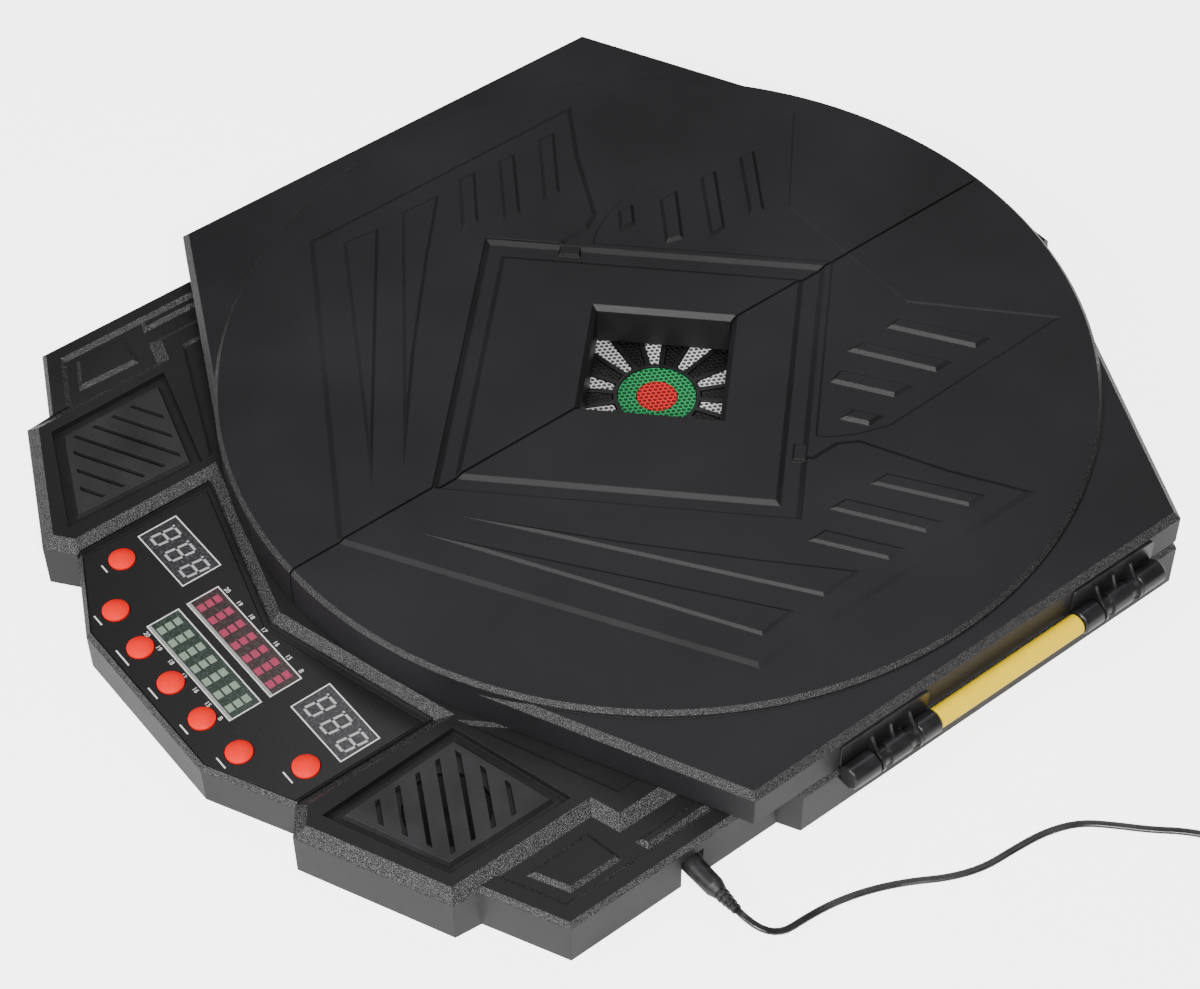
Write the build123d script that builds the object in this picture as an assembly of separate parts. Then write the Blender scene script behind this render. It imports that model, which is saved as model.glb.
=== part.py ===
from build123d import *
import math
import os

# Electronic soft-tip dartboard in a cabinet with two doors, lying on its back.
# Millimetres. X runs to the right of the board, Y up the board, Z out of its front.
# The origin is where the bull's axis meets the back face.

os.makedirs("parts", exist_ok=True)

# ---- driving dimensions -------------------------------------------------------
# cabinet body
body_half_width = 227.4
body_corner_y = 131.4            # height at which the sides turn towards the top
body_side_bottom = -101.8        # lower end of the full-width sides
deck_height = 26.1
wall = 2.5
deck_chamfer = 2.2
clearance = 0.3                  # gap between pieces that are fitted together

# round target and its surround
disc_radius = 216.0
target_radius = 171.5
target_rise = 1.6                # target face above the deck
ring_seat_drop = 4.1             # seat of the number ring below the deck
ring_rim = 5.0                   # flat rim of the number ring
web = 2.4                        # width of the spider's bars
segment_gap = 0.35
outer_bull_radius = 19.4
inner_bull_radius = 10.0
bull_ring = 2.2
triple_inner = 92.0
triple_width = 10.0
double_width = 11.0
segment_depth = 8.3
bull_travel = 1.0
mat_thickness = 2.0
backplate_thickness = 3.0

# doors
door_inset = 0.4                 # door side inside the cabinet side
door_corner_y = 130.0
door_gap = 3.5                   # door underside above the deck
door_side_height = 16.0
door_edge_bevel = 3.2
disc_rise = 3.4
disc_bevel = 2.1
door_wall = 2.5
door_skin = 3.0
seam = 1.2
channel_depth = 1.6
channel_bevel = 2.6
field_depth = 0.5
rack_place = (150.0, 20.0)
rack_size = (12.0, 120.0, 12.0)
dart_radius = 3.6
magnet_x = 9.0
magnet_inset = 14.0              # magnet centres inside the disc
window_half_diagonal = 51.4
window_bevel = 2.5
relief = 1.3
relief_bevel = 1.6

# lower deck: speaker blocks, outer blocks and control panel
lower_half_width = 217.4
lower_step_y = -107.2
lower_corner = (lower_half_width, -222.7)
block_step = (178.7, -241.6)
speaker_corner = (177.3, -254.8)
speaker_foot = (105.7, -288.3)
panel_corner = (92.0, -277.6)
panel_foot = (48.7, -299.2)
plateau_rise = 2.3               # speaker plateau above the deck
plateau_bevel = 6.0
block_drop = 1.9                 # floor of the outer blocks below the deck
rim_width = 9.0
rim_bevel = 2.4
panel_drop = 2.7                 # control panel below the deck
panel_top_y = -229.9             # lower edge of the sloping band at the centre
panel_side_top_y = -203.5
overlay_thickness = 1.4
plateau_step_x = 191.6
plateau_back_y = -134.0
deck_lip = 0.4
relief_height = 2.0
pad_bevel = 2.0
pocket_depth = 2.0
grille_drop = 1.7                # seat of the grilles below the deck
grille_gap = 4.5
grille_thickness = 2.6
slot_angle = -28.1
slot_width = 2.2
slot_pitch = 10.85
slot_start = -259.8
slot_count = 7
speaker_place = (135.0, -227.0)
speaker_opening = 20.0
overlay_margin = 2.8
board_margin = 6.0
keypad_thickness = 1.0
tab_half_width = 44.0
tab_top = 233.5
tab_corner = 7.0

# displays, arrays and buttons
display_size = (38.6, 20.4)
display_x = 64.9
display_y = -238.0
array_size = (68.8, 16.4)
upper_array_y = -244.3
lower_array_y = -266.1
module_depth = 8.6
board_thickness = 1.6
button_radius = 6.4
button_dome = 2.6
button_travel = 1.2
dome_height = 1.9
button_places = [(-77.1, -262.1), (-52.1, -280.9), (-26.1, -283.7), (0.0, -283.7),
                 (26.1, -283.7), (52.1, -280.9), (77.1, -262.1)]

# hinges
hinge_offset = 5.9               # hinge axis outside the cabinet side
hinge_rise = 2.2                 # hinge axis above the deck
rod_radius = 2.5
running = 0.06                   # radial clearance of the rod in the moving knuckles
barrel_radius = 6.0
barrel_end_chamfer = 0.7
tube_radius = 5.1
rib_radius = 6.2
hinge_stations = [(-81.4, -66.0, -41.6, -29.6), (111.6, 96.2, 71.8, 59.8)]
end_gap = 0.5
sleeve_radius = 4.6
leaf_thickness = 1.2
rib_thickness = 1.4
rib_bar_thickness = 1.2
wing_corner = 2.0

# power inlet and cord
inlet_y = -156.0
inlet_z = 12.0
notch_width = 12.0
notch_height = 18.4
notch_depth = 6.0
jack_depth = 8.0
jack_width = 10.0
cord_diameter = 3.5
plug_radius = 5.0
plug_length = 19.0
relief_length = 11.0
coil_centre = (371.0, 66.0)
coil_rings = 3
coil_layers = 4
coil_pitch = 3.6
coil_layer_pitch = 2.3
coil_middle_radius = 20.0
adapter_size = (68.0, 42.0, 28.0)
adapter_centre = (452.0, 44.0)
adapter_relief = 10.0
prong_length = 17.0
prong_spacing = 12.7

# fixings
cover_thickness = 2.5
screw_radius = 1.4
head_radius = 2.7
head_height = 1.4
screw_grip = 9.0
boss_radius = 3.6
screw_inset = 7.0                # ring screws inside the disc
ring_screw_angles = [math.radians(20 + 45 * k) for k in range(8)]
post_circle = 120.0
wall_hole_spacing = 300.0
wall_hole_y = 150.0
wall_hole_radius = 3.5

# ---- values worked out from them ------------------------------------------------
target_face = deck_height + target_rise
plateau_height = deck_height + plateau_rise
block_floor = deck_height - block_drop
panel_height = deck_height - panel_drop
grille_floor = deck_height - grille_drop
door_half_width = body_half_width - door_inset
door_underside = deck_height + door_gap
hinge_x = body_half_width + hinge_offset
hinge_z = deck_height + hinge_rise
screw_circle = disc_radius - screw_inset
magnet_ys = (magnet_inset - disc_radius, disc_radius - magnet_inset)
flank_top = door_underside + door_side_height + door_edge_bevel
disc_top = flank_top + disc_rise
disc_foot = disc_radius - 0.4    # distance of the doors' sloping sides from the centre
ring_outer = disc_radius - 2.3
ledge_radius = ring_outer - 9.0
opening_radius = ring_outer + clearance
ring_seat = deck_height - ring_seat_drop
segment_bottom = target_face - segment_depth
mat_top = segment_bottom - 0.2
mat_bottom = mat_top - mat_thickness
backplate_bottom = mat_bottom - backplate_thickness
overlay_bottom = panel_height - overlay_thickness
panel_under = overlay_bottom - wall
module_bottom = panel_height - module_depth
board_bottom = module_bottom - board_thickness
spider_radius = target_radius + 3.2
tube_bore = rod_radius + 0.3


# ---- drawing helpers ---------------------------------------------------------
def ordered(points):
    """The outline, counter-clockwise."""
    area = sum(a[0] * b[1] - b[0] * a[1] for a, b in zip(points, points[1:] + points[:1]))
    return points if area > 0 else points[::-1]


def mirrored(points):
    return [(-x, y) for x, y in points]


def inset(points, distance):
    """An outline moved inwards by the same distance on every side."""
    points = ordered(points)
    moved = []
    for i, (bx, by) in enumerate(points):
        ax, ay = points[i - 1]
        cx, cy = points[(i + 1) % len(points)]
        before = math.hypot(bx - ax, by - ay)
        after = math.hypot(cx - bx, cy - by)
        n1 = ((ay - by) / before, (bx - ax) / before)
        n2 = ((by - cy) / after, (cx - bx) / after)
        k = distance / (1 + n1[0] * n2[0] + n1[1] * n2[1])
        moved.append((bx + k * (n1[0] + n2[0]), by + k * (n1[1] + n2[1])))
    return moved


def plate(points, z0, z1):
    outline = make_face(Polyline(*ordered(points), close=True))
    return Pos(0, 0, z0) * extrude(outline, amount=z1 - z0)


def frustum(low, z0, high, z1):
    faces = [Pos(0, 0, z) * make_face(Polyline(*ordered(p), close=True)) for p, z in ((low, z0), (high, z1))]
    return loft(faces, ruled=True)


def raised(points, z, height, bevel):
    """A flat-topped boss with sloping sides."""
    return frustum(points, z, inset(points, bevel), z + height)


def sunk(points, z, depth, bevel):
    """The cutter for a flat-bottomed recess with sloping sides."""
    return frustum(inset(points, bevel), z - depth, points, z)


def block(x0, x1, y0, y1, z0, z1):
    return Pos((x0 + x1) / 2, (y0 + y1) / 2, (z0 + z1) / 2) * Box(x1 - x0, y1 - y0, z1 - z0)


def rod(x, y, z0, z1, radius):
    return Pos(x, y, (z0 + z1) / 2) * Cylinder(radius, z1 - z0)


def along_y(x, z, y0, y1, radius):
    return Pos(x, (y0 + y1) / 2, z) * Rot(90, 0, 0) * Cylinder(radius, abs(y1 - y0))


def turned_rz(profile):
    """A ring turned about Z from (radius, height) points."""
    face = make_face(Polyline(*[(r, 0, z) for r, z in profile], close=True))
    return revolve(face, axis=Axis.Z)


def save(name, *shapes):
    solids = [s for shape in shapes for s in shape.solids()]
    export_step(Compound(children=solids) if len(solids) > 1 else solids[0], f"parts/{name}.step")
    return solids


def flank(half_width, corner_y, foot_distance):
    """Six-sided outline whose sloping sides graze the round disc."""
    reach = math.hypot(half_width, corner_y)
    angle = math.atan2(corner_y, half_width) + math.acos(foot_distance / reach)
    foot = (foot_distance * math.cos(angle), foot_distance * math.sin(angle))
    quarter = [(half_width, corner_y), foot]
    top = quarter + [(-x, y) for x, y in quarter[::-1]]
    return top + [(x, -y) for x, y in top[::-1]]


# ---- cabinet body -----------------------------------------------------------
upper = flank(body_half_width, body_corner_y, disc_foot)
upper_top = [p for p in upper if p[1] > 0]
lower_right = [(body_half_width, 0), (body_half_width, body_side_bottom), (lower_half_width, lower_step_y),
               lower_corner, block_step, speaker_corner, speaker_foot, panel_corner, panel_foot]
lower = lower_right + mirrored(lower_right[::-1])
tab_right = [(tab_half_width, 150), (tab_half_width, tab_top - tab_corner), (tab_half_width - tab_corner, tab_top)]
tab = tab_right + mirrored(tab_right[::-1])
panel_side = [(panel_corner[0], panel_side_top_y), panel_corner, panel_foot]
panel = [(0, panel_top_y)] + panel_side + mirrored(panel_side[::-1])
plateau_side = [(panel_corner[0], panel_side_top_y), panel_corner, speaker_foot, speaker_corner,
                (speaker_corner[0], -180.0), (plateau_step_x, -175.7), (plateau_step_x, plateau_back_y)]
plateau = [(0, panel_top_y)] + plateau_side + mirrored(plateau_side[::-1])


def body_solid(margin, z0, z1):
    """The whole plan outline moved in by a margin: sides, round head, top tab and lower deck."""
    head = rod(0, 0, z0, z1, disc_radius + deck_lip - margin) & block(-300, 300, 100, 300, z0, z1)
    shape = plate(inset(upper_top + [(-body_half_width, -50), (body_half_width, -50)], margin), z0, z1)
    return shape + plate(inset(lower, margin), z0, z1) + plate(inset(tab, margin), z0, z1) + head


def outer_block_recess():
    """Floor of the right outer block, inside its rim; it runs on under the speaker plateau."""
    (ax, ay), (bx, by) = lower_corner, block_step
    length = math.hypot(ax - bx, ay - by)
    slope = (ay - by) / (ax - bx)
    lift = rim_width * length / (ax - bx)
    x0, x1 = speaker_corner[0] - plateau_bevel - 2, ax - rim_width
    return [(x1, by + slope * (x1 - bx) + lift), (x1, body_side_bottom - 10),
            (x0, body_side_bottom - 10), (x0, by + slope * (x0 - bx) + lift)]


grille_rim = [(103.1, -200.2), (165.9, -182.5), (165.2, -247.2), (106.3, -272.9)]
pad = [(182.9, -187.0), (203.0, -183.5), (203.0, -211.3), (184.0, -221.0)]
bar = [(199.3, -137.0), (206.0, -134.8), (206.0, -171.6), (199.3, -173.6)]
deck_pocket = [(101.0, -196.5), (176.5, -164.9), (176.5, -146.0), (128.0, -168.0)]
boss_right = [(220.5, 40.0), (219.0, 108.0), (174.0, 148.0), (30.0, 224.5), (220.5, -60.0), (203.0, -196.0),
              (118.0, -189.0), (40.0, -219.0), (118.0, -272.0)]
boss_places = boss_right + mirrored(boss_right)
board_posts = [(80.0, -219.5), (-80.0, -219.5), (39.0, -289.5), (-39.0, -289.5)]
wall_hole_places = [(-wall_hole_spacing / 2, wall_hole_y), (wall_hole_spacing / 2, wall_hole_y)]


def front_housing():
    shell = body_solid(0, 0, deck_height)
    shell = chamfer(shell.edges().group_by(Axis.Z)[-1], deck_chamfer)
    # outer blocks: a rim round a lower floor with a square pad and a bar on it
    for recess in (outer_block_recess(), mirrored(outer_block_recess())):
        shell -= sunk(recess, deck_height, deck_height - block_floor, rim_bevel)
    # control panel area, lower than the deck, with a chamfered outer edge
    shell -= plate([(0, panel_top_y), panel_side[0], (panel_corner[0], -320)]
                   + mirrored([(panel_corner[0], -320), panel_side[0]]), panel_height, deck_height + 1)
    panel_edges = shell.edges().filter_by(Plane.XY).filter_by(
        lambda e: abs(e.center().Z - panel_height) < 0.01 and e.center().Y < panel_corner[1] - 1)
    shell = chamfer(panel_edges, deck_chamfer)
    # plateau that carries the two speakers
    shell -= plate(inset(plateau, 0.01), block_floor, deck_height + 1)
    shell += frustum(plateau, block_floor, inset(plateau, plateau_bevel), plateau_height)
    for side in (1, -1):
        place = (lambda points: points) if side == 1 else mirrored
        shell += raised(place(pad), block_floor, relief_height, pad_bevel)
        shell += raised(place(bar), block_floor, relief_height, pad_bevel)
        shell -= sunk(place(deck_pocket), plateau_height, pocket_depth, 1.0)
        shell -= plate(place(grille_rim), grille_floor, plateau_height + 1)
    # hollow inside, with lower ceilings over the panel and under the number ring
    panel_zone = plate(inset(panel, -wall), 0, deck_height)
    hollow = body_solid(wall, -1, panel_under) + (body_solid(wall, panel_under, block_floor - wall) - panel_zone)
    grille_zone = [plate(inset(place, -wall), 0, plateau_height) for place in (grille_rim, mirrored(grille_rim))]
    pocket_zone = [plate(inset(place, -wall), 0, plateau_height) for place in (deck_pocket, mirrored(deck_pocket))]
    ceiling = plate(inset(plateau, plateau_bevel + wall), block_floor - wall - 1, plateau_height - wall)
    hollow += ceiling - panel_zone - grille_zone[0] - grille_zone[1] - pocket_zone[0] - pocket_zone[1]
    shell -= hollow
    for place in (grille_rim, mirrored(grille_rim)):
        shell += plate(inset(place, -wall), grille_floor - wall, grille_floor)
    # round opening with a ledge for the number ring
    shell += rod(0, 0, ring_seat - wall, deck_height - 0.5, disc_radius - 1)
    shell -= rod(0, 0, ring_seat, plateau_height + 1, opening_radius)
    shell -= rod(0, 0, 0, ring_seat + 1, ledge_radius)
    for angle in ring_screw_angles:
        x, y = screw_circle * math.cos(angle), screw_circle * math.sin(angle)
        shell -= rod(x, y, ring_seat - wall - 1, ring_seat + 1, screw_radius + 0.2)
    # screw bosses and the posts of the panel board
    for x, y in boss_places:
        shell += rod(x, y, cover_thickness, block_floor - wall / 2, boss_radius)
        shell -= rod(x, y, 0, cover_thickness + screw_grip, screw_radius + 0.05)
    for x, y in board_posts:
        shell += rod(x, y, module_bottom, panel_under + 0.5, 2.4)
    shell -= rod(0, 0, 0, ring_seat - wall, ledge_radius)
    # pocket of the overlay, and the holes of displays, arrays and buttons
    shell -= plate(inset(panel, overlay_margin - clearance), overlay_bottom, deck_height + 3)
    for x, y, (width, height) in module_places:
        shell -= block(x - width / 2 - clearance, x + width / 2 + clearance,
                       y - height / 2 - clearance, y + height / 2 + clearance, 10, 30)
    for x, y in button_places:
        shell -= rod(x, y, panel_under - 1, overlay_bottom + 1, button_radius + clearance)
    for x in (speaker_place[0], -speaker_place[0]):
        shell -= rod(x, speaker_place[1], grille_floor - wall - 1, grille_floor + 1, speaker_opening)
    # notch of the power inlet, with the jack's seat behind it
    x0 = lower_half_width - notch_depth
    shell += block(x0 - jack_depth, lower_half_width - 0.5, inlet_y - notch_width / 2 - wall,
                   inlet_y + notch_width / 2 + wall, cover_thickness + clearance, block_floor - wall + 0.2)
    shell -= block(x0, lower_half_width + 1, inlet_y - notch_width / 2, inlet_y + notch_width / 2, -1, notch_height)
    shell -= block(x0 - jack_depth - 1, x0 + 1, inlet_y - jack_width / 2 - clearance,
                   inlet_y + jack_width / 2 + clearance, -1, inlet_z + jack_width / 2 + clearance)
    return shell


def rear_cover():
    cover = body_solid(wall + clearance, 0, cover_thickness)
    x0 = lower_half_width - notch_depth
    cover -= block(x0 - jack_depth - 1, lower_half_width + 1, inlet_y - notch_width / 2 - wall - clearance,
                   inlet_y + notch_width / 2 + wall + clearance, -1, cover_thickness + 1)
    for angle in range(0, 360, 45):
        x, y = post_circle * math.cos(math.radians(angle)), post_circle * math.sin(math.radians(angle))
        cover += rod(x, y, cover_thickness, backplate_bottom, 4.5)
    cover += rod(0, 0, cover_thickness, backplate_bottom, 9.0)
    for x, y in boss_places:
        cover -= rod(x, y, -1, cover_thickness + 1, screw_radius + 0.2)
        cover -= rod(x, y, -1, head_height + 0.1, head_radius + 0.2)
    for x, y in wall_hole_places:
        cover -= rod(x, y, -1, cover_thickness + 1, wall_hole_radius)
    return cover


def rear_screws():
    return [rod(x, y, 0.1, head_height + 0.1, head_radius) + rod(x, y, head_height, cover_thickness + screw_grip - 1,
                                                                 screw_radius) for x, y in boss_places]


def ring_screws():
    screws = []
    for angle in ring_screw_angles:
        x, y = screw_circle * math.cos(angle), screw_circle * math.sin(angle)
        head = rod(x, y, ring_seat - wall - head_height, ring_seat - wall, head_radius)
        screws.append(head + rod(x, y, ring_seat - wall, ring_seat + 2.4, screw_radius))
    return screws


# ---- round target -------------------------------------------------------------
def number_ring():
    foot = spider_radius + clearance
    ring = turned_rz([(foot, ring_seat - wall), (foot, target_face + 0.3), (ring_outer - ring_rim, deck_height - 0.3),
                      (ring_outer, deck_height - 0.3), (ring_outer, ring_seat), (ledge_radius - 1, ring_seat),
                      (ledge_radius - 1, ring_seat - 1.0), (foot + 14, ring_seat - wall)])
    for angle in ring_screw_angles:
        x, y = screw_circle * math.cos(angle), screw_circle * math.sin(angle)
        ring -= rod(x, y, ring_seat - 1, ring_seat + 2.6, screw_radius + 0.05)
    return ring


ring_bands = {
    "inner_single": (outer_bull_radius + bull_ring + segment_gap, triple_inner - web / 2),
    "triple": (triple_inner + web / 2, triple_inner + triple_width - web / 2),
    "outer_single": (triple_inner + triple_width + web / 2, target_radius - double_width - web / 2),
    "double": (target_radius - double_width + web / 2, target_radius),
}


def spider():
    tall = target_face + 0.6
    hub = rod(0, 0, mat_top, tall, outer_bull_radius + bull_ring)
    web_solid = hub
    for radius in (triple_inner, triple_inner + triple_width, target_radius - double_width):
        web_solid += rod(0, 0, mat_top, tall, radius + web / 2) - rod(0, 0, mat_top, tall, radius - web / 2)
    web_solid += rod(0, 0, mat_top, tall, spider_radius) - rod(0, 0, mat_top, tall, target_radius + segment_gap)
    for k in range(20):
        spoke = block(outer_bull_radius + 1, target_radius + 1, -web / 2, web / 2, mat_top, tall)
        web_solid += Rot(0, 0, 9 + 18 * k) * spoke
    return web_solid - rod(0, 0, mat_top - 1, tall + 1, outer_bull_radius + segment_gap)


def sector(inner, outer, index):
    """One scoring segment: a ring slice between two spokes, centred on a multiple of 18 degrees from the top."""
    ring = rod(0, 0, segment_bottom, target_face, outer - segment_gap)
    ring -= rod(0, 0, segment_bottom - 1, target_face + 1, inner + segment_gap)
    reach = 2 * outer
    middle = math.radians(90 - 18 * index)
    half = math.radians(9)
    shift = (web / 2 + segment_gap) / math.sin(half)
    cx, cy = shift * math.cos(middle), shift * math.sin(middle)
    wedge = [(cx, cy)] + [(cx + reach * math.cos(middle + s * half), cy + reach * math.sin(middle + s * half))
                          for s in (-1, 1)]
    return ring & plate(wedge, segment_bottom - 1, target_face + 1)


def segments(band, parity):
    inner, outer = ring_bands[band]
    return [sector(inner, outer, k) for k in range(parity, 20, 2)]


def bull(outer, inner=0.0):
    bottom = segment_bottom + bull_travel
    shape = rod(0, 0, bottom, target_face, outer)
    return shape - rod(0, 0, bottom - 1, target_face + 1, inner) if inner else shape


# ---- control panel -------------------------------------------------------------
module_places = [(-display_x, display_y, display_size), (display_x, display_y, display_size),
                 (0, upper_array_y, array_size), (0, lower_array_y, array_size)]


def control_panel():
    sheet = plate(inset(panel, overlay_margin), overlay_bottom, panel_height)
    for x, y, (width, height) in module_places:
        sheet -= block(x - width / 2 - clearance, x + width / 2 + clearance,
                       y - height / 2 - clearance, y + height / 2 + clearance, 10, 30)
    for x, y in button_places:
        sheet -= rod(x, y, overlay_bottom - 1, panel_height + 1, button_radius + clearance)
    return sheet


def module(index):
    x, y, (width, height) = module_places[index]
    return block(x - width / 2, x + width / 2, y - height / 2, y + height / 2, module_bottom, panel_height - 0.1)


def button(index):
    x, y = button_places[index]
    stem_bottom = module_bottom + keypad_thickness + button_travel + 0.1
    flange_top = panel_under - clearance
    top = panel_height + button_dome
    dome_radius = (button_radius ** 2 + dome_height ** 2) / (2 * dome_height)
    cap = rod(0, 0, flange_top, top, button_radius) & Pos(0, 0, top - dome_radius) * Sphere(dome_radius)
    flange = rod(0, 0, flange_top - 1.1, flange_top, button_radius + 1.4)
    return Pos(x, y, 0) * (cap + flange + rod(0, 0, stem_bottom, flange_top - 1.1, 3.0))


def keypad_mat():
    top = module_bottom + keypad_thickness
    shape = rod(*button_places[0], module_bottom, top, button_radius + 1.2)
    for (ax, ay), (bx, by) in zip(button_places, button_places[1:]):
        length = math.hypot(bx - ax, by - ay)
        strip = Rot(0, 0, math.degrees(math.atan2(by - ay, bx - ax))) * Box(length, 5.0, keypad_thickness)
        shape += Pos((ax + bx) / 2, (ay + by) / 2, (module_bottom + top) / 2) * strip
        shape += rod(bx, by, module_bottom, top, button_radius + 1.2)
    return shape


def panel_board():
    return plate(inset(panel, board_margin), board_bottom, module_bottom)


# ---- speakers -------------------------------------------------------------------
def speaker_grille(mirror_it):
    outline = inset(grille_rim, grille_gap)
    grille = raised(outline, grille_floor, grille_thickness, 1.0)
    field = plate(inset(outline, 4.0), grille_floor - 1, plateau_height + 1)
    for k in range(slot_count):
        slot = Rot(0, 0, slot_angle) * Box(120, slot_width, 20)
        grille -= (Pos(134, slot_start + k * slot_pitch, grille_floor) * slot) & field
    return mirror(grille, about=Plane.YZ) if mirror_it else grille


def speaker_driver():
    top = block_floor - wall
    profile = [(0, 5), (13, 5), (13, 11), (16, 12), (23, top - 2), (26, top - 2), (26, top),
               (21.5, top), (21.5, top - 1.2), (7, top - 5.5), (0, top - 4)]
    return Pos(*speaker_place, 0) * turned_rz(profile)


# ---- power inlet, plug, cord and adapter -------------------------------------------
def power_jack():
    x0 = lower_half_width - notch_depth
    half = jack_width / 2
    body = block(x0 - jack_depth, x0, inlet_y - half, inlet_y + half, inlet_z - half, inlet_z + half)
    bore = Pos(x0 - jack_depth / 2 + 1, inlet_y, inlet_z) * Rot(0, 90, 0) * Cylinder(2.9, jack_depth)
    return body - bore


def along_x(profile, x, y, z):
    """A body turned about a line parallel to X, from (distance along, radius) points."""
    face = make_face(Polyline(*profile, close=True))
    return Pos(x, y, z) * revolve(face, axis=Axis.X)


def power_plug():
    x0 = lower_half_width - notch_depth
    end = plug_length + notch_depth
    profile = [(-jack_depth + 3, 0), (-jack_depth + 3, 2.75), (0.3, 2.75), (0.3, plug_radius - 0.4),
               (1.2, plug_radius), (end - 4, plug_radius - 0.3), (end, plug_radius - 1.6)]
    ribs = 4
    pitch = relief_length / ribs
    for k in range(ribs):
        outer = plug_radius - 1.7 - 0.3 * k
        a = end + k * pitch
        profile += [(a, outer - 0.9), (a + 0.45 * pitch, outer - 0.9), (a + 0.45 * pitch, outer), (a + pitch, outer)]
    profile += [(end + relief_length, 0)]
    return along_x(profile, x0, inlet_y, inlet_z)


cord_start = (lower_half_width + plug_length + relief_length, inlet_y, inlet_z)
cord_z = cord_diameter / 2
coil_outer = coil_middle_radius + (coil_rings - 1) / 2 * coil_pitch
coil_top = cord_diameter + (coil_layers - 1) * coil_layer_pitch
coil_side_y = coil_centre[1] - coil_outer
adapter_face = adapter_centre[0] - adapter_size[0] / 2
adapter_exit = (adapter_face - adapter_relief, coil_side_y, 5.0)
cord_route = [cord_start, (258.0, -155.2, 10.6), (265.8, -146.4, 6.6), (264.4, -131.5, 2.9), (265.4, -116.0, cord_z),
              (270.0, -99.5, cord_z), (277.5, -83.0, cord_z), (287.0, -68.0, cord_z), (292.8, -52.0, cord_z),
              (293.8, -35.0, cord_z), (295.8, -17.5, cord_z), (301.5, -2.5, cord_z), (312.0, 8.5, cord_z),
              (323.5, 19.0, cord_z), (334.0, 31.0, cord_z), (346.0, 40.5, cord_z),
              (359.0, coil_side_y - 0.4, cord_z), (371.0, coil_side_y, cord_z)]
cord_tail = [(371.5, coil_side_y, coil_top - cord_z), (383.9, coil_side_y + 0.9, coil_top - cord_z - 1.0),
             (396.1, coil_side_y + 0.5, 5.6), adapter_exit]


def cord_tube(route):
    """Round tube along straight runs joined by the largest arcs that the runs allow; prints its radii."""
    points = [Vector(*p) for p in route]
    runs = [(b - a).length for a, b in zip(points, points[1:])]
    radii = []
    for i in range(1, len(points) - 1):
        turn = math.radians((points[i] - points[i - 1]).get_angle(points[i + 1] - points[i]))
        radii.append(0.45 * min(runs[i - 1], runs[i]) / math.tan(turn / 2))
    path = FilletPolyline(*points, radius=radii)
    section = Plane(points[0], z_dir=points[1] - points[0]) * Circle(cord_diameter / 2)
    tube = sweep(section, path=path)
    expected = math.pi * cord_diameter ** 2 / 4 * path.length
    print("cord runs", [round(r, 1) for r in runs], "radii", [round(r, 1) for r in radii],
          "length", round(path.length, 1), "volume ratio", round(tube.volume / expected, 4))
    return tube, path.length


def cord_coil():
    inner = coil_middle_radius - (coil_rings - 1) / 2 * coil_pitch - cord_z
    outer = coil_outer + cord_z
    ring = turned_rz([(inner, 0), (outer, 0), (outer, coil_top), (inner, coil_top)])
    return Pos(*coil_centre, 0) * ring


def cord_tie():
    inner = coil_middle_radius - (coil_rings - 1) / 2 * coil_pitch - cord_z
    outer = coil_outer + cord_z
    x, y = coil_centre
    frame = block(x - 4, x + 4, y + inner - 1.0, y + outer + 1.0, 0, coil_top + 1.0)
    return frame - block(x - 5, x + 5, y + inner, y + outer, 0.4, coil_top)


def wall_adapter():
    length, width, height = adapter_size
    x, y = adapter_centre
    body = Pos(x, y, height / 2) * Box(length, width, height)
    body = fillet(body.edges(), 3.0)
    relief_profile = [(0, 0), (0, 2.6), (adapter_relief, 3.6), (adapter_relief + 2, 3.6), (adapter_relief + 2, 0)]
    return body + along_x(relief_profile, *adapter_exit)


def adapter_prongs():
    length, width, height = adapter_size
    x = adapter_centre[0] + length / 2
    y, z = adapter_centre[1], height / 2
    return [block(x, x + prong_length, y + s * prong_spacing / 2 - 0.75, y + s * prong_spacing / 2 + 0.75,
                  z - 3.2, z + 3.2) for s in (-1, 1)]


# ---- hinges, right side ------------------------------------------------------------
def hinge_bracket():
    """Fixed barrels of both hinges, each on a foot against the cabinet side, bored for the rod."""
    bore = along_y(hinge_x, hinge_z, hinge_stations[0][0] + 2.0, hinge_stations[1][0] - 2.0, rod_radius + 0.05)
    seat_top = deck_height - deck_chamfer
    solids = []
    for a, b, c, d in hinge_stations:
        for low, high in (sorted((a, b)), sorted((c, d))):
            barrel = along_y(hinge_x, hinge_z, low, high, barrel_radius)
            barrel = chamfer(barrel.edges(), barrel_end_chamfer)
            foot = block(body_half_width, hinge_x + 2.0, low, high, hinge_z - barrel_radius, seat_top)
            solids.append(barrel + foot - bore)
    return solids


def hinge_rod():
    low, high = hinge_stations[0][0] + 2.2, hinge_stations[1][0] - 2.2
    return along_y(hinge_x, hinge_z, low, high, rod_radius)


def hinge_tube():
    low, high = hinge_stations[0][3] + clearance, hinge_stations[1][3] - clearance
    tube = along_y(hinge_x, hinge_z, low, high, tube_radius)
    tube = fillet(tube.edges(), 1.2)
    return tube - along_y(hinge_x, hinge_z, low - 1, high + 1, tube_bore)


def hinge_leaf(low, high, ends):
    """Plate on the door's side, with wings that pass above the fixed barrels."""
    leaf_top = door_underside + door_side_height - 1.5
    face = door_half_width + leaf_thickness
    wing = block(door_half_width, face, min(ends), max(ends), hinge_z + barrel_radius * 0.6, leaf_top)
    wing = fillet(wing.edges().filter_by(Axis.X).group_by(Axis.Z)[-1], wing_corner)
    return wing + block(door_half_width, face, low, high, door_underside + 1.0, leaf_top - wing_corner)


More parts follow.
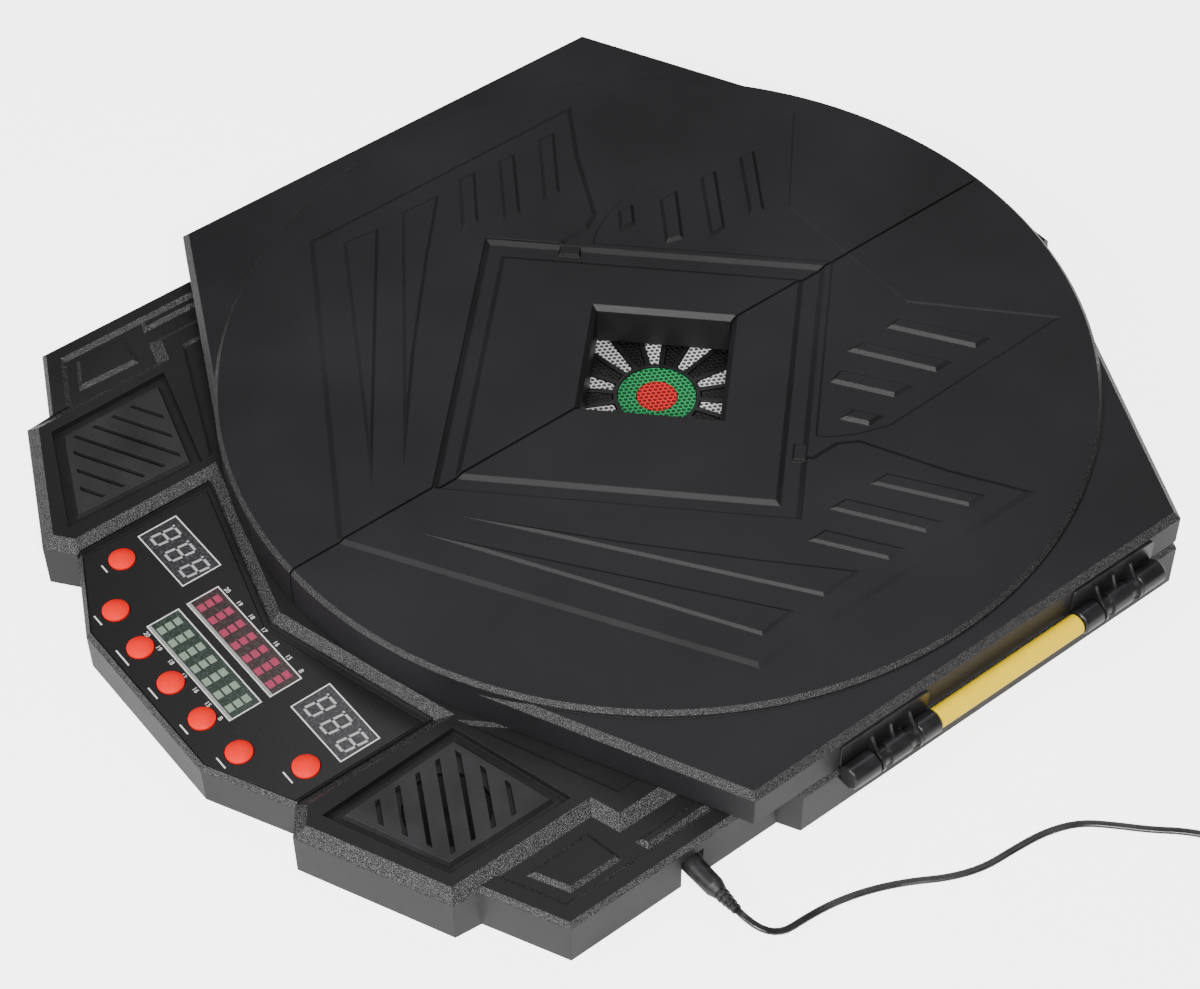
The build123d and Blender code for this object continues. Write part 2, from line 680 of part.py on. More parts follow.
def hinge_rib(y, length, short):
    """Curved rib from the leaf down to the knuckle; the end ribs go on round it."""
    top = door_underside + door_side_height - 4.5
    toe = (hinge_x + sleeve_radius * 0.5, hinge_z + sleeve_radius * 0.8)
    if not short:
        toe = (hinge_x + rib_radius * 0.77, hinge_z + rib_radius * 0.64)
    head = (door_half_width + leaf_thickness + 1.4, top)
    waist = ((head[0] + toe[0]) / 2 - 0.8, (head[1] + toe[1]) / 2 - 0.9)
    sides = Polyline(toe, (hinge_x - 2.0, hinge_z + 2.0), (door_half_width, door_underside + 1.5),
                     (door_half_width, top), head)
    web = make_face(sides + ThreePointArc(head, waist, toe))
    rib = extrude(Plane((0, y + length, 0), x_dir=(1, 0, 0), z_dir=(0, -1, 0)) * web, amount=length)
    if not short:
        rib += along_y(hinge_x, hinge_z, y, y + length, rib_radius)
    return rib


def hinge_clips():
    """Moving knuckles on the door: a sleeve round the rod, two hooked ribs, a short one and a bar between."""
    clips = []
    for a, b, c, d in hinge_stations:
        low, high = min(b, c) + end_gap, max(b, c) - end_gap
        middle = (low + high - rib_thickness) / 2
        clip = hinge_leaf(low, high, (a, d)) + along_y(hinge_x, hinge_z, low, high, sleeve_radius)
        clip += hinge_rib(low, rib_thickness, False) + hinge_rib(high - rib_thickness, rib_thickness, False)
        clip += hinge_rib(middle, rib_thickness, True)
        quarter = (high - low) / 4
        clip += along_y(hinge_x, hinge_z, low + quarter, high - quarter, sleeve_radius + rib_bar_thickness)
        clips.append(clip - along_y(hinge_x, hinge_z, low - 1, high + 1, rod_radius + running))
    return clips


# ---- right door ----------------------------------------------------------------
def door_relief(panel_body):
    """Raised and sunk pattern on the outer face, right half."""
    field = [(0, 124), (44.5, 124), (100.5, 176), (103, 60), (98, 45), (92, 34), (86, 27), (0, 113)]
    panel_body -= sunk(field, disc_top, field_depth, 1.0)
    fan = [(-3, -191), (176.5, -85), (177, 84), (142, 62.3), (101, 42), (95, 32), (95, 17), (60, -10), (-3, -80)]
    panel_body += raised(fan, disc_top, relief, relief_bevel + 1.0)
    fan_top = disc_top + relief
    wedges = [[(17.2, -157.7), (164, -72.5), (162, -52)],
              [(18, -139), (164, -36), (163, -13), (128, -45.5), (80, -88)],
              [(134, -20), (166, 1.5), (166, 12.3), (134, -9.2)],
              [(125.5, 0.5), (164.5, 26), (164.5, 36.8), (125.5, 11.3)],
              [(125.5, 26), (165, 52.7), (165, 63.5), (125.5, 36.8)]]
    for wedge in wedges:
        panel_body += raised(wedge, fan_top, relief - 0.2, relief_bevel)
    bars = [[(52, 103), (90, 128), (89.6, 138), (50.8, 112)], [(52, 77), (90, 101.5), (90, 112), (52.8, 87.3)],
            [(63, 56.5), (90, 74.3), (90.5, 86.4), (60, 65.7)], [(84, 43.5), (96.5, 52), (96.5, 62), (84, 53.5)]]
    for each in bars:
        panel_body += raised(each, disc_top - field_depth, relief + field_depth, relief_bevel)
    # square channel round the middle, crossed by a small rib
    outer = [(0, 109), (122.4, -13.4), (0, -135.8), (-122.4, -13.4)]
    inner = [(0, 91), (105, -14), (0, -119), (-105, -14)]
    panel_body -= plate(outer, disc_top, disc_top + 5)
    panel_body -= sunk(outer, disc_top, channel_depth, channel_bevel)
    panel_body += raised(inset(inner, -channel_bevel), disc_top - channel_depth, channel_depth, channel_bevel)
    rib = [(87.5, 21.5), (95.5, 13.5), (90.5, 8.5), (82.5, 16.5)]
    return panel_body + raised(rib, disc_top - channel_depth, channel_depth, 0.8)


def door_shell():
    outline = flank(door_half_width, door_corner_y, disc_foot)
    side = plate(outline, door_underside, flank_top)
    side = chamfer(side.edges().group_by(Axis.Z)[-1], door_edge_bevel)
    disc = rod(0, 0, door_underside, disc_top, disc_radius)
    disc = chamfer(disc.edges().group_by(Axis.Z)[-1], disc_bevel)
    shell = door_relief(side + disc)
    # hollow tray behind the skin, with a frame left round the window
    half = window_half_diagonal
    window = [(0, half), (half, 0), (0, -half), (-half, 0)]
    frame = plate(inset(window, -1.0), door_underside - 1, disc_top)
    tray = plate(inset(outline, door_wall), door_underside - 1, flank_top - door_skin)
    tray += rod(0, 0, door_underside - 1, disc_top - channel_depth - door_skin, disc_radius - door_wall)
    tray &= block(seam / 2 + door_wall, 300, -300, 300, 0, 100)
    shell -= tray - frame
    shell -= plate(inset(window, window_bevel), door_underside - 1, disc_top + 5)
    shell -= sunk(window, disc_top, window_bevel, window_bevel)
    return shell & block(seam / 2, 300, -300, 300, 0, 100)


def dart_rack():
    """Bar of six open clips for dart barrels, on the inner face of the door."""
    top = disc_top - channel_depth - door_skin
    x, y = rack_place
    width, length, depth = rack_size
    rack = block(x - width / 2, x + width / 2, y - length / 2, y + length / 2, top - depth, top)
    for k in range(6):
        yk = y - length / 2 + (k + 0.5) * length / 6
        rack -= Pos(x, yk, top - depth + 4.0) * Rot(0, 90, 0) * Cylinder(dart_radius, width + 2)
        rack -= block(x - width, x + width, yk - dart_radius * 0.75, yk + dart_radius * 0.75, top - depth - 1,
                      top - depth + 4.0)
    return rack


def door_magnets():
    top = disc_top - channel_depth - door_skin
    return [block(magnet_x - 5, magnet_x + 5, y - 10, y + 10, door_underside + 0.4, top) for y in magnet_ys]


def catch_plates():
    """Steel tabs standing on the number ring's rim, each close in front of a door magnet."""
    tabs = []
    for x in (-magnet_x, magnet_x):
        for side in (-1, 1):
            inner, outer = sorted((side * (magnet_ys[1] + 7.0), side * (magnet_ys[1] + 10.6)))
            tabs.append(block(x - 4, x + 4, inner, outer, deck_height - clearance, door_underside - 0.4))
    return tabs


# ---- write every piece --------------------------------------------------------
def right_and_left(name, solids):
    solids = solids if isinstance(solids, list) else [solids]
    save(name + "_right", *solids)
    save(name + "_left", *[mirror(s, about=Plane.YZ) for s in solids])


save("front_housing", front_housing())
save("rear_cover", rear_cover())
save("rear_screws", *rear_screws())
save("ring_screws", *ring_screws())
save("number_ring", number_ring())
save("spider", spider())
for band in ring_bands:
    save(band + "_black" if "single" in band else band + "_red", *segments(band, 0))
    save(band + "_white" if "single" in band else band + "_green", *segments(band, 1))
save("outer_bull", bull(outer_bull_radius, inner_bull_radius + segment_gap))
save("inner_bull", bull(inner_bull_radius))
save("sensor_mat", rod(0, 0, mat_bottom, mat_top, spider_radius))
save("target_backplate", rod(0, 0, backplate_bottom, mat_bottom, spider_radius))

save("control_panel", control_panel())
for index, name in enumerate(("display_left", "display_right", "score_array_upper", "score_array_lower")):
    save(name, module(index))
for index in range(len(button_places)):
    save(f"button_{index + 1}", button(index))
save("keypad_mat", keypad_mat())
save("panel_board", panel_board())
save("speaker_grille_right", speaker_grille(False))
save("speaker_grille_left", speaker_grille(True))
save("speaker_driver", speaker_driver())

save("power_jack", power_jack())
save("power_plug", power_plug())
route_tube, route_length = cord_tube(cord_route)
tail_tube, tail_length = cord_tube(cord_tail)
save("power_cord", route_tube, tail_tube)
save("cord_coil", cord_coil())
save("cord_tie", cord_tie())
save("wall_adapter", wall_adapter())
save("adapter_prongs", *adapter_prongs())
coil_length = 2 * math.pi * coil_middle_radius * coil_rings * coil_layers
print("cord length", round(route_length + tail_length + coil_length))

right_and_left("hinge_bracket", hinge_bracket())
right_and_left("hinge_rod", hinge_rod())
right_and_left("hinge_tube", hinge_tube())
right_and_left("hinge_clips", hinge_clips())
right_and_left("door", door_shell())
right_and_left("dart_rack", dart_rack())
right_and_left("door_magnets", door_magnets())
save("catch_plates", *catch_plates())
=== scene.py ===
import math
import bmesh
import bpy
from mathutils import Matrix, Vector


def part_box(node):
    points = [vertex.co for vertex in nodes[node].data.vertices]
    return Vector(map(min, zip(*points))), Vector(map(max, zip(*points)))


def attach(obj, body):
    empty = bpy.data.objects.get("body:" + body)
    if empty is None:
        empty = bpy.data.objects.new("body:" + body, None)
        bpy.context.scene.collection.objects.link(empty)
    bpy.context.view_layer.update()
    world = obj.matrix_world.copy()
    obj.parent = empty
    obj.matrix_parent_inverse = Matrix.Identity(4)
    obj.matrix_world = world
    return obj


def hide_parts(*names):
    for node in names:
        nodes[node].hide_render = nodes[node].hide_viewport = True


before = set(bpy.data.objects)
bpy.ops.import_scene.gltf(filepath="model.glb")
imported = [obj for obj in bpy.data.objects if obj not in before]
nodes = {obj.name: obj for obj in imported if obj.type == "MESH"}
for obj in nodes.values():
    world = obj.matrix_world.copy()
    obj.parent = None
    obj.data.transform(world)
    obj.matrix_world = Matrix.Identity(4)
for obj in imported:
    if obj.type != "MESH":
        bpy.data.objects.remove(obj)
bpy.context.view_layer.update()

# ---- Steps shared by all finishes -----------------------------------------------------


def plain_finish(name, colour, roughness, specular=0.5, metallic=0.0):
    """A new material with values that are the same all over."""
    finish = bpy.data.materials.new(name)
    finish.use_nodes = True
    shader = shader_of(finish)
    shader.inputs["Base Color"].default_value = (*colour, 1)
    shader.inputs["Roughness"].default_value = roughness
    shader.inputs["Specular IOR Level"].default_value = specular
    shader.inputs["Metallic"].default_value = metallic
    return finish


def shader_of(finish):
    return finish.node_tree.nodes["Principled BSDF"]


def feed(finish, value, socket):
    """Links an output to a socket, or sets the socket to a plain value."""
    if isinstance(value, bpy.types.NodeSocket):
        finish.node_tree.links.new(value, socket)
    else:
        socket.default_value = value


def coordinates(finish, kind):
    """A piece's own coordinates, or its normals."""
    return finish.node_tree.nodes.new("ShaderNodeTexCoord").outputs[kind]


def number(finish, operation, *values):
    """One step of maths on numbers."""
    step = finish.node_tree.nodes.new("ShaderNodeMath")
    step.operation = operation
    for value, socket in zip(values, step.inputs):
        feed(finish, value, socket)
    return step.outputs["Value"]


def vector(finish, operation, *values):
    """One step of maths on vectors."""
    step = finish.node_tree.nodes.new("ShaderNodeVectorMath")
    step.operation = operation
    for value, socket in zip(values, step.inputs):
        feed(finish, value, socket)
    return step.outputs["Value" if operation == "LENGTH" else "Vector"]


def blend(finish, kind, factor, one, two):
    """Mixes two numbers (FLOAT) or two colours (RGBA)."""
    mix = finish.node_tree.nodes.new("ShaderNodeMix")
    mix.data_type = kind
    feed(finish, factor, mix.inputs["Factor"])
    feed(finish, one, mix.inputs["A"])
    feed(finish, two, mix.inputs["B"])
    return mix.outputs["Result"]


def speckle(finish, scale, detail, stretch=(1, 1, 1)):
    """Noise over the piece, from 0 to 1, by the piece's own coordinates."""
    size = finish.node_tree.nodes.new("ShaderNodeMapping")
    size.inputs["Scale"].default_value = stretch
    noise = finish.node_tree.nodes.new("ShaderNodeTexNoise")
    noise.inputs["Scale"].default_value = scale
    noise.inputs["Detail"].default_value = detail
    feed(finish, coordinates(finish, "Object"), size.inputs["Vector"])
    feed(finish, size.outputs["Vector"], noise.inputs["Vector"])
    return noise.outputs["Fac"]


def spread(finish, source, low, high, to_low, to_high):
    """Maps a value from one range to another."""
    ranges = finish.node_tree.nodes.new("ShaderNodeMapRange")
    ranges.inputs["From Min"].default_value = low
    ranges.inputs["From Max"].default_value = high
    ranges.inputs["To Min"].default_value = to_low
    ranges.inputs["To Max"].default_value = to_high
    feed(finish, source, ranges.inputs["Value"])
    return ranges.outputs["Result"]


def two_tone(finish, factor, one, two):
    """Lets the colour drift between two tones."""
    feed(finish, blend(finish, "RGBA", factor, (*one, 1), (*two, 1)), shader_of(finish).inputs["Base Color"])


def worn(finish, noise, low, high, smooth, rough):
    """Lets the roughness drift between two values."""
    feed(finish, spread(finish, noise, low, high, smooth, rough), shader_of(finish).inputs["Roughness"])


def relief(finish, height, depth, strength=1.0, edge=0.0):
    """Bump of that depth in metres; edge rounds the piece's sharp edges by that radius."""
    bump = finish.node_tree.nodes.new("ShaderNodeBump")
    bump.inputs["Distance"].default_value = depth
    bump.inputs["Strength"].default_value = strength
    feed(finish, height, bump.inputs["Height"])
    if edge:
        round_edge = finish.node_tree.nodes.new("ShaderNodeBevel")
        round_edge.samples = 4
        round_edge.inputs["Radius"].default_value = edge
        feed(finish, round_edge.outputs["Normal"], bump.inputs["Normal"])
    feed(finish, bump.outputs["Normal"], shader_of(finish).inputs["Normal"])


def grained(finish, scale, detail, depth, strength, edge=0.0, stretch=(1, 1, 1)):
    """Fine relief all over."""
    relief(finish, speckle(finish, scale, detail, stretch), depth, strength, edge)


def mottled(name, base, roughness, specular, scale, detail, one, two, span=(0, 1)):
    """A finish with patches of two tones; span is the part of the noise over which they change."""
    finish = plain_finish(name, base, roughness, specular)
    two_tone(finish, spread(finish, speckle(finish, scale, detail), *span, 0, 1), one, two)
    return finish


def wear_finish(names, finish):
    """Gives CAD pieces a finish through their own material slots."""
    for name in names:
        for slot in nodes[name].material_slots:
            slot.material = finish


# ---- Floor, lights and camera -----------------------------------------------------
# A floor that is white to look at but stays a calm grey in reflections and as a light,
# a soft key light on the camera's side, one in front, and a weak one over the top. The
# camera looks down from the lower right.
glow_as_light = 0.5
glow_to_camera = 3.6
bpy.ops.object.select_all(action="DESELECT")
bpy.ops.mesh.primitive_plane_add(size=14, location=(0, 0, -0.0002))
floor = bpy.context.object
floor.name = "floor"
bpy.ops.object.transform_apply(location=True, rotation=True, scale=True)
floor_paint = plain_finish("floor_paint", (0.93, 0.93, 0.935), 0.9, 0.1)
seen = floor_paint.node_tree.nodes.new("ShaderNodeLightPath").outputs["Is Camera Ray"]
shader_of(floor_paint).inputs["Emission Color"].default_value = (1, 1, 1, 1)
feed(floor_paint, spread(floor_paint, seen, 0, 1, glow_as_light, glow_to_camera),
     shader_of(floor_paint).inputs["Emission Strength"])
floor.data.materials.append(floor_paint)


def softbox(name, place, aim, width, height, power, colour):
    """A rectangular soft light turned towards a point."""
    light = bpy.data.lights.new(name, "AREA")
    light.shape = "RECTANGLE"
    light.size = width
    light.size_y = height
    light.energy = power
    light.color = colour
    lamp = bpy.data.objects.new(name, light)
    bpy.context.scene.collection.objects.link(lamp)
    lamp.location = place
    lamp.rotation_euler = (Vector(aim) - Vector(place)).to_track_quat("-Z", "Y").to_euler()


softbox("key_softbox", (1.25, -0.85, 1.75), (0.0, -0.05, 0.0), 0.8, 0.8, 60, (1.0, 0.99, 0.97))
softbox("front_softbox", (0.05, -2.0, 1.5), (0.0, -0.1, 0.0), 1.2, 0.6, 40, (1.0, 1.0, 1.0))
softbox("top_softbox", (-0.9, 0.9, 2.4), (0.0, 0.0, 0.0), 1.4, 1.4, 10, (0.98, 0.95, 1.0))
room = bpy.data.worlds.new("studio")
room.use_nodes = True
room.node_tree.nodes["Background"].inputs["Color"].default_value = (1, 1, 1, 1)
room.node_tree.nodes["Background"].inputs["Strength"].default_value = 0.14
bpy.context.scene.world = room

turn = math.radians(52.167)
tilt = math.radians(48.042)
roll = math.radians(-0.508)
camera_aim = Vector((0.01433, -0.04729, 0.0))
camera_distance = 1.3597
level = Vector((math.cos(turn), math.sin(turn), 0))
back = Vector((math.sin(turn) * math.cos(tilt), -math.cos(turn) * math.cos(tilt), math.sin(tilt)))
upright = back.cross(level)
camera_right = math.cos(roll) * level + math.sin(roll) * upright
camera_up = -math.sin(roll) * level + math.cos(roll) * upright
camera_data = bpy.data.cameras.new("camera")
camera_data.lens = 82.83
camera_data.sensor_width = 36
camera_data.clip_start = 0.05
camera = bpy.data.objects.new("camera", camera_data)
camera.matrix_world = (Matrix.Translation(camera_aim + camera_distance * back)
                       @ Matrix((camera_right, camera_up, back)).transposed().to_4x4())
bpy.context.scene.collection.objects.link(camera)
bpy.context.scene.camera = camera

# ---- Power cord and its coil --------------------------------------------------------
# A limp twin cord, two round conductors side by side in soft black vinyl. It leaves the
# plug level, drops to the floor, and its spare length is wound flat beside the adapter:
# layers of a few turns, wound inwards and outwards by turns, with a climb at each end.
cord_width = 0.0035
wire_radius = 0.00098
lying = 0.0011
coil_place = (0.371, 0.066)
coil_inner = 0.0164
lane_pitch = 0.0036
layer_pitch = 0.0023
turns_across = 3
turns_high = 4
per_turn = 14
climb = 0.35
cord_points = [
    (0.2474, -0.156, 0.012), (0.258, -0.1552, 0.0104), (0.2658, -0.1464, 0.0062),
    (0.2644, -0.1315, 0.0024), (0.2654, -0.116, lying), (0.270, -0.0995, lying),
    (0.2775, -0.083, lying), (0.287, -0.068, lying), (0.2928, -0.052, lying),
    (0.2938, -0.035, lying), (0.2958, -0.0175, lying), (0.3015, -0.0025, lying),
    (0.312, 0.0085, lying), (0.3235, 0.019, lying), (0.334, 0.031, lying),
    (0.346, 0.0403, lying), (0.359, 0.0420, lying)]
for layer in range(turns_high):
    for step in range(turns_across * per_turn):
        along = step / per_turn
        lane = along - 0.5 if layer % 2 else turns_across - 1 - along + 0.5
        lane = min(max(lane, 0.0), turns_across - 1.0)
        radius = coil_inner + lane_pitch * lane
        angle = -math.pi / 2 + 2 * math.pi * along
        rise = layer + max(0.0, along - (turns_across - climb)) / climb
        cord_points.append((coil_place[0] + radius * math.cos(angle),
                            coil_place[1] + radius * math.sin(angle),
                            lying + layer_pitch * min(rise, turns_high - 1)))
cord_points += [(0.3718, 0.0424, 0.0080), (0.3839, 0.0433, 0.0070),
                (0.3961, 0.0429, 0.0054), (0.408, 0.0424, 0.005)]
route = bpy.data.curves.new("cord_route", "CURVE")
route.dimensions = "3D"
route.resolution_u = 4
spline = route.splines.new("NURBS")
spline.points.add(len(cord_points) - 1)
for point, place in zip(spline.points, cord_points):
    point.co = (*place, 1)
spline.order_u = 3
spline.use_endpoint_u = True
route_object = bpy.data.objects.new("cord_route", route)
route_mesh = bpy.data.meshes.new_from_object(route_object)
line = [v.co.copy() for v in route_mesh.vertices]
bpy.data.meshes.remove(route_mesh)
bpy.data.curves.remove(route)


def twin_section():
    """Outline of two conductors side by side, as (across, up) points."""
    points_a_side = 9
    opening = 128
    middle = cord_width / 2 - wire_radius
    half = [math.radians(-opening + 2 * opening * k / (points_a_side - 1)) for k in range(points_a_side)]
    right = [(middle + wire_radius * math.cos(a), wire_radius * math.sin(a)) for a in half]
    return right + [(-x, -y) for x, y in right]


def cord_skin(points):
    """Sweeps the twin section along the points, lying flat."""
    shape = bmesh.new()
    rings = []
    for i, place in enumerate(points):
        ahead = (points[min(i + 1, len(points) - 1)] - points[max(i - 1, 0)]).normalized()
        across = ahead.cross(Vector((0, 0, 1))).normalized()
        up = across.cross(ahead)
        rings.append([shape.verts.new(place + across * x + up * y) for x, y in twin_section()])
    for one, two in zip(rings, rings[1:]):
        for k in range(len(one)):
            shape.faces.new((one[k - 1], one[k], two[k], two[k - 1]))
    shape.faces.new(rings[0][::-1])
    shape.faces.new(rings[-1])
    bmesh.ops.recalc_face_normals(shape, faces=shape.faces)
    skin = bpy.data.meshes.new("power_cord_line")
    shape.to_mesh(skin)
    shape.free()
    return skin


cord_line = bpy.data.objects.new("power_cord_line", cord_skin(line))
bpy.context.scene.collection.objects.link(cord_line)
for face in cord_line.data.polygons:
    face.use_smooth = True

cord_vinyl = plain_finish("cord_vinyl", (0.012, 0.012, 0.013), 0.28, 0.6)
shader_of(cord_vinyl).inputs["Coat Weight"].default_value = 0.35
shader_of(cord_vinyl).inputs["Coat Roughness"].default_value = 0.15
scuff = speckle(cord_vinyl, 90, 3)
worn(cord_vinyl, scuff, 0.35, 0.7, 0.2, 0.42)
two_tone(cord_vinyl, spread(cord_vinyl, scuff, 0.3, 0.75, 0, 1), (0.009, 0.009, 0.010), (0.03, 0.03, 0.032))
grained(cord_vinyl, 700, 2, 0.00006, 0.5)
cord_line.data.materials.append(cord_vinyl)
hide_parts("power_cord", "cord_coil")
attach(cord_line, "cabinet")

# ---- Plug, tie, adapter and prongs --------------------------------------------------
# A barrel plug moulded in soft rubber with a ribbed relief, a paper-covered wire tie
# round the coil, and a boxy black adapter with two flat plated prongs.
plug_rubber = mottled("plug_rubber", (0.014, 0.014, 0.015), 0.42, 0.45, 240, 4,
                      (0.010, 0.010, 0.011), (0.035, 0.035, 0.038), (0.35, 0.75))
grained(plug_rubber, 2200, 2, 0.00008, 0.6, 0.0004)
wear_finish(["power_plug"], plug_rubber)

tie_paper = mottled("tie_paper", (0.02, 0.02, 0.02), 0.7, 0.3, 300, 3,
                    (0.012, 0.012, 0.012), (0.05, 0.05, 0.05))
grained(tie_paper, 500, 3, 0.0002, 0.7, 0.0003, (1, 1, 6))
wear_finish(["cord_tie"], tie_paper)

adapter_plastic = mottled("adapter_plastic", (0.016, 0.016, 0.017), 0.4, 0.5, 60, 4,
                          (0.012, 0.012, 0.013), (0.028, 0.028, 0.03), (0.3, 0.8))
grained(adapter_plastic, 1900, 2, 0.00010, 0.6, 0.0005)
wear_finish(["wall_adapter"], adapter_plastic)

prong_plate = plain_finish("prong_plate", (0.72, 0.70, 0.64), 0.25, metallic=1.0)
grained(prong_plate, 900, 3, 0.00003, 0.5, 0.0003, (1, 12, 12))
worn(prong_plate, speckle(prong_plate, 400, 3), 0.3, 0.7, 0.15, 0.38)
wear_finish(["adapter_prongs"], prong_plate)

# ---- Cabinet body and doors ----------------------------------------------------------
# Thick mouldings in charcoal plastic. Flat faces have a fine satin grain. Sloping edges have a
# coarser one, smoother on its crests, so it glitters where light strikes it, and lighter flecks
# are painted on them as glints.
black = (0, 0, 0, 1)
white = (1, 1, 1, 1)


def cabinet_moulding(name, face, painted_glint, roughness, plain_within=0.0):
    """Satin flat faces, and coarse grain with lighter flecks of painted glint on sloping ones, except within
    a radius of the centre.
    """
    coarse_scale = 2100
    fine_scale = 2600
    fine_height = 0.16
    slope_shine = 0.24
    finish = plain_finish(name, face, roughness, 0.34)
    split = finish.node_tree.nodes.new("ShaderNodeSeparateXYZ")
    feed(finish, coordinates(finish, "Normal"), split.inputs["Vector"])
    slope = finish.node_tree.nodes.new("ShaderNodeValToRGB")
    stops = slope.color_ramp.elements
    stops[0].position = 0.12
    stops[0].color = black
    stops[1].position = 0.25
    stops[1].color = white
    stops.new(0.93).color = white
    stops.new(0.985).color = black
    feed(finish, number(finish, "ABSOLUTE", split.outputs["Z"]), slope.inputs["Fac"])
    sloping = slope.outputs["Color"]
    if plain_within:
        level_place = vector(finish, "MULTIPLY", coordinates(finish, "Object"), (1, 1, 0))
        from_centre = vector(finish, "LENGTH", level_place)
        outside = spread(finish, from_centre, plain_within - 0.001, plain_within, 0, 1)
        sloping = number(finish, "MULTIPLY", sloping, outside)
    pits = speckle(finish, coarse_scale, 1.5)
    smudge = speckle(finish, 14, 5)
    dirty_face = blend(finish, "RGBA", spread(finish, smudge, 0.35, 0.7, 0, 1),
                       (*[c * 0.8 for c in face], 1), (*[c * 1.35 for c in face], 1))
    # Lighter flecks on the sloping faces: painted glints in the base colour.
    painted_glint_mask = number(finish, "MULTIPLY", spread(finish, pits, 0.44, 0.66, 0, 1), sloping)
    feed(finish, blend(finish, "RGBA", painted_glint_mask, dirty_face, (*painted_glint, 1)),
         shader_of(finish).inputs["Base Color"])
    face_shine = spread(finish, smudge, 0.3, 0.75, roughness - 0.06, roughness + 0.1)
    feed(finish, blend(finish, "FLOAT", sloping, face_shine, slope_shine),
         shader_of(finish).inputs["Roughness"])
    fine = spread(finish, speckle(finish, fine_scale, 2), 0, 1, 0, fine_height)
    relief(finish, blend(finish, "FLOAT", sloping, fine, pits), 0.0005, 0.8, 0.0006)
    return finish


housing_plastic = cabinet_moulding("housing_plastic", (0.0100, 0.0100, 0.0110), (0.100, 0.100, 0.102), 0.44)
door_plastic = cabinet_moulding("door_plastic", (0.0118, 0.0112, 0.0128), (0.060, 0.060, 0.062), 0.46,
                                plain_within=0.2118)
wear_finish(["front_housing", "number_ring"], housing_plastic)
wear_finish(["door_right", "door_left"], door_plastic)

rear_plastic = mottled("rear_plastic", (0.014, 0.014, 0.015), 0.55, 0.4, 18, 5,
                       (0.010, 0.010, 0.011), (0.026, 0.026, 0.028), (0.3, 0.75))
grained(rear_plastic, 1500, 3, 0.0002, 0.6, 0.0005)
wear_finish(["rear_cover", "target_backplate"], rear_plastic)

grille_plastic = mottled("grille_plastic", (0.018, 0.018, 0.0195), 0.5, 0.4, 40, 4,
                         (0.014, 0.014, 0.015), (0.028, 0.028, 0.030), (0.3, 0.75))
grained(grille_plastic, 2400, 2, 0.00012, 0.6, 0.0004)
wear_finish(["speaker_grille_right", "speaker_grille_left"], grille_plastic)

# ---- Hinges ---------------------------------------------------------------------------
# Moulded black barrels and ribbed clips on a bright steel rod, with a yellow tube slid
# over the rod between the two hinges of each side.
hinge_plastic = mottled("hinge_plastic", (0.010, 0.010, 0.011), 0.3, 0.5, 120, 4,
                        (0.008, 0.008, 0.009), (0.022, 0.022, 0.024), (0.3, 0.75))
grained(hinge_plastic, 1700, 2, 0.00008, 0.5, 0.0006)
wear_finish(["hinge_bracket_right", "hinge_bracket_left"], hinge_plastic)
wear_finish(["hinge_clips_right", "hinge_clips_left"], hinge_plastic)

rod_steel = plain_finish("rod_steel", (0.56, 0.56, 0.57), 0.3, metallic=1.0)
grained(rod_steel, 800, 3, 0.00003, 0.4, stretch=(1, 0.05, 1))
worn(rod_steel, speckle(rod_steel, 300, 3), 0.3, 0.7, 0.22, 0.42)
wear_finish(["hinge_rod_right", "hinge_rod_left"], rod_steel)

tube_yellow = mottled("tube_yellow", (1.0, 0.68, 0.0), 0.5, 0.12, 60, 4,
                      (0.97, 0.64, 0.0), (1.0, 0.71, 0.002), (0.35, 0.75))
grained(tube_yellow, 500, 2, 0.00004, 0.4)
wear_finish(["hinge_tube_right", "hinge_tube_left"], tube_yellow)

# ---- Target: segments, bulls and web --------------------------------------------------
# Hard plastic blocks, each pierced all over by small round dart holes in a honeycomb,
# held in a black web. Their faces stand a little above the flat deck round the ring.
dart_pitch = 0.0026
dart_hole = 0.00092


def holed(name, colour, hole_shade):
    """Plastic with a honeycomb of round dart holes, painted darker inside as shade."""
    finish = plain_finish(name, colour, 0.38, 0.5)
    cell = (dart_pitch, dart_pitch * math.sqrt(3), 1)
    cells = vector(finish, "DIVIDE", coordinates(finish, "Object"), cell)
    distances = []
    for shift in (0.0, 0.5):
        moved = vector(finish, "ADD", cells, (shift, shift, 0))
        within = vector(finish, "FRACTION", moved)
        centred = vector(finish, "SUBTRACT", within, (0.5, 0.5, 0))
        sized = vector(finish, "MULTIPLY", centred, (cell[0], cell[1], 0))
        distances.append(vector(finish, "LENGTH", sized))
    nearest = number(finish, "MINIMUM", *distances)
    wall = spread(finish, nearest, dart_hole * 0.72, dart_hole * 1.12, 0, 1)
    # Inside the holes the colour turns to the darker tone: painted shade in the holes.
    two_tone(finish, wall, hole_shade, colour)
    relief(finish, wall, 0.0009)
    return finish


bull_red = holed("bull_red", (0.88, 0.012, 0.012), (0.20, 0.002, 0.003))
bull_green = holed("bull_green", (0.010, 0.36, 0.10), (0.001, 0.055, 0.016))
segment_red = holed("segment_red", (0.60, 0.022, 0.020), (0.15, 0.004, 0.004))
segment_green = holed("segment_green", (0.014, 0.25, 0.085), (0.003, 0.06, 0.02))
segment_black = holed("segment_black", (0.009, 0.009, 0.0095), (0.002, 0.002, 0.002))
segment_white = holed("segment_white", (0.76, 0.76, 0.76), (0.07, 0.07, 0.075))
wear_finish(["inner_bull"], bull_red)
wear_finish(["outer_bull"], bull_green)
wear_finish(["triple_red", "double_red"], segment_red)
wear_finish(["triple_green", "double_green"], segment_green)
wear_finish(["inner_single_black", "outer_single_black"], segment_black)
wear_finish(["inner_single_white", "outer_single_white"], segment_white)

